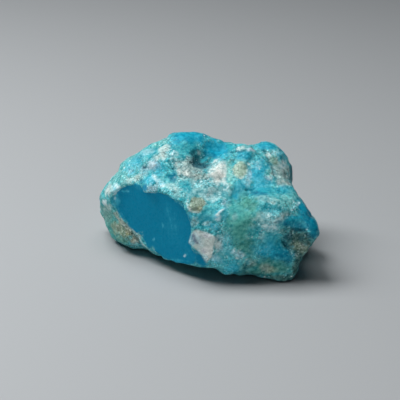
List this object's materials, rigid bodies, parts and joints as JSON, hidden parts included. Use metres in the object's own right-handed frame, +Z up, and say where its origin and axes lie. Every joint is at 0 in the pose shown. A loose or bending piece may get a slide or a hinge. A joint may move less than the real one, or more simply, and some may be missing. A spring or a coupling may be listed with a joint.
{
  "type": "raw turquoise nugget",
  "caption": "Rough turquoise stone with a sugary quartz crust, a flat polished window and a set-in quartz fragment, lying on a natural flat.",
  "frame": {"origin": "on the surface that the stone lies on, under the middle of its box", "axes": "+X along the stone's length, -Y towards the polished window, +Z up"},
  "size_m": [0.0494, 0.0298, 0.0263],
  "materials": {
    "turquoise": "sugary, glinting crust in blue, green and white, with a satin polished window"
  },
  "bodies": {
    "root": {"nugget": "turquoise"}
  },
  "joints": []
}
